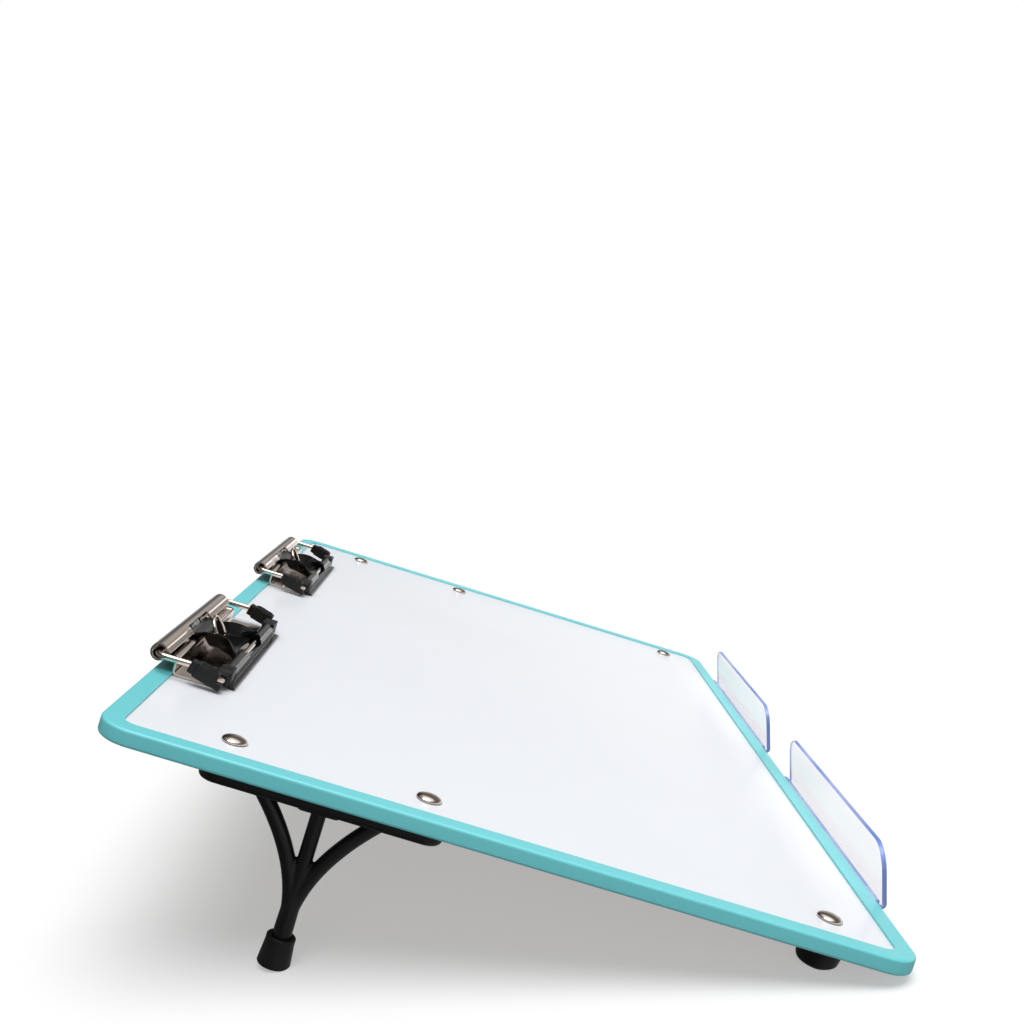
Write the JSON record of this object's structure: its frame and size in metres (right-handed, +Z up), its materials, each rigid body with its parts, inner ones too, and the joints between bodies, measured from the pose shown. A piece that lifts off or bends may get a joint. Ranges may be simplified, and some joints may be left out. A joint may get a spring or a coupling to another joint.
{
  "type": "slant board",
  "caption": "Tilted white writing board with an edge trim, braced legs, rubber feet, spring clips on its top edge and clear ledges on its bottom edge.",
  "frame": {"origin": "centre of the footprint, on the desk", "axes": "+X across the board to the user's right, +Y from the low front edge to the high rear edge, +Z up"},
  "size_m": [0.61, 0.348, 0.1284],
  "materials": {
    "core_board": "raw hardboard",
    "white_face": "glossy white sheet",
    "teal_trim": "soft satin",
    "leg_coat": "fine powder coat",
    "black_rubber": "matt moulded",
    "nickel_plate": "warm nickel plating",
    "black_steel": "semi-gloss black",
    "spring_steel": "bright drawn wire",
    "clear_acrylic": "polished clear, bluish at the edges",
    "clear_tape": "clear mounting tape"
  },
  "bodies": {
    "board_and_legs": {"clip_left_base": "nickel_plate", "clip_left_rivet_left": "nickel_plate", "clip_left_rivet_right": "nickel_plate", "clip_left_spring": "spring_steel", "clip_right_base": "nickel_plate", "clip_right_rivet_left": "nickel_plate", "clip_right_rivet_right": "nickel_plate", "clip_right_spring": "spring_steel", "core_panel": "core_board", "edge_trim": "teal_trim", "face_sheet": "white_face", "front_foot_left": "black_rubber", "front_foot_left_screw": "nickel_plate", "front_foot_right": "black_rubber", "front_foot_right_screw": "nickel_plate", "ledge_left": "clear_acrylic", "ledge_right": "clear_acrylic", "ledge_tape_left": "clear_tape", "ledge_tape_right": "clear_tape", "leg_left_cap": "black_rubber", "leg_left_front_brace": "leg_coat", "leg_left_plate": "leg_coat", "leg_left_post": "leg_coat", "leg_left_rear_brace": "leg_coat", "leg_left_screw_front": "nickel_plate", "leg_left_screw_rear": "nickel_plate", "leg_right_cap": "black_rubber", "leg_right_front_brace": "leg_coat", "leg_right_plate": "leg_coat", "leg_right_post": "leg_coat", "leg_right_rear_brace": "leg_coat", "leg_right_screw_front": "nickel_plate", "leg_right_screw_rear": "nickel_plate"},
    "left_jaw": {"clip_left_bail": "nickel_plate", "clip_left_grip_left": "black_rubber", "clip_left_grip_right": "black_rubber", "clip_left_jaw": "black_steel"},
    "right_jaw": {"clip_right_bail": "nickel_plate", "clip_right_grip_left": "black_rubber", "clip_right_grip_right": "black_rubber", "clip_right_jaw": "black_steel"},
    "left_hang_ring": {"clip_left_hang_ring": "nickel_plate"},
    "right_hang_ring": {"clip_right_hang_ring": "nickel_plate"}
  },
  "joints": [
    {"name": "left_jaw_hinge", "type": "hinge", "parent": "board_and_legs", "child": "left_jaw", "pos_m": [-0.138, 0.16869, 0.12365], "axis": [-1, 0, 0], "range_deg": [0, 45], "stiffness_Nm_per_rad": 0.6, "springref_deg": -51.57},
    {"name": "left_ring_hinge", "type": "hinge", "parent": "left_jaw", "child": "left_hang_ring", "pos_m": [-0.138, 0.15331, 0.1159], "axis": [1, 0, 0], "range_deg": [-20, 115]},
    {"name": "right_jaw_hinge", "type": "hinge", "parent": "board_and_legs", "child": "right_jaw", "pos_m": [0.138, 0.16869, 0.12365], "axis": [-1, 0, 0], "range_deg": [0, 45], "stiffness_Nm_per_rad": 0.6, "springref_deg": -51.57},
    {"name": "right_ring_hinge", "type": "hinge", "parent": "right_jaw", "child": "right_hang_ring", "pos_m": [0.138, 0.15331, 0.1159], "axis": [1, 0, 0], "range_deg": [-20, 115]}
  ]
}
